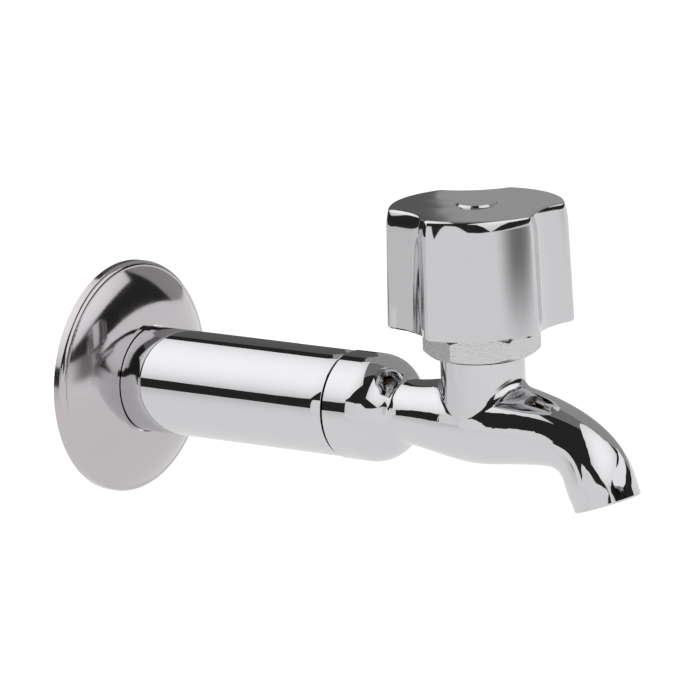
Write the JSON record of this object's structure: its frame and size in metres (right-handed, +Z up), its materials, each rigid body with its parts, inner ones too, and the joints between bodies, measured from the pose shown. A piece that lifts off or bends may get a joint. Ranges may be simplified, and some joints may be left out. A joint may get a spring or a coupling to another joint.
{
  "type": "sink tap",
  "caption": "Wall-mounted sink tap: round wall flange, long straight barrel, upright screw-down valve with a lobed knob, down-curved spout.",
  "frame": {"origin": "on the barrel's axis, in the plane of the wall behind the flange's rim", "axes": "+X out of the wall along the barrel, +Z up along the valve's axis, +Y completes the right-handed frame"},
  "size_m": [0.1753, 0.062, 0.0885],
  "materials": {
    "bright_chrome": "polished chrome plate on brass",
    "knob_chrome": "polished chrome plate on die-cast zinc",
    "button_chrome": "chrome-plated plastic",
    "blasted_chrome": "blasted, plated brass",
    "turned_brass": "turned",
    "zinc_steel": "zinc-plated",
    "seal_rubber": "moulded",
    "packing": "graphited fibre ring",
    "insert_plastic": "moulded acetal"
  },
  "bodies": {
    "root": {"wall_flange": "bright_chrome", "barrel": "bright_chrome", "barrel_seal": "seal_rubber", "tap_body": "bright_chrome", "bonnet": "blasted_chrome", "bonnet_washer": "seal_rubber", "gland_washer": "turned_brass", "gland_packing": "packing", "gland_nut": "turned_brass"},
    "valve": {"jumper": "turned_brass", "seat_washer": "seal_rubber", "washer_nut": "turned_brass"},
    "handle": {"spindle": "turned_brass", "knob": "knob_chrome", "spline_insert": "insert_plastic", "screw_washer": "zinc_steel", "knob_screw": "zinc_steel", "index_button": "button_chrome"}
  },
  "joints": [
    {"name": "valve_lift", "type": "slide", "parent": "root", "child": "valve", "axis": [0, 0, 1], "range_m": [0, 0.00375]},
    {"name": "handle_turn", "type": "hinge", "parent": "valve", "child": "handle", "pos_m": [0.1174, 0, 0.026], "axis": [0, 0, 1], "range_deg": [0, 540]}
  ],
  "couplings": [
    {"joint": "handle_turn", "follows": "valve_lift", "rad_per_m": 2513.3}
  ]
}
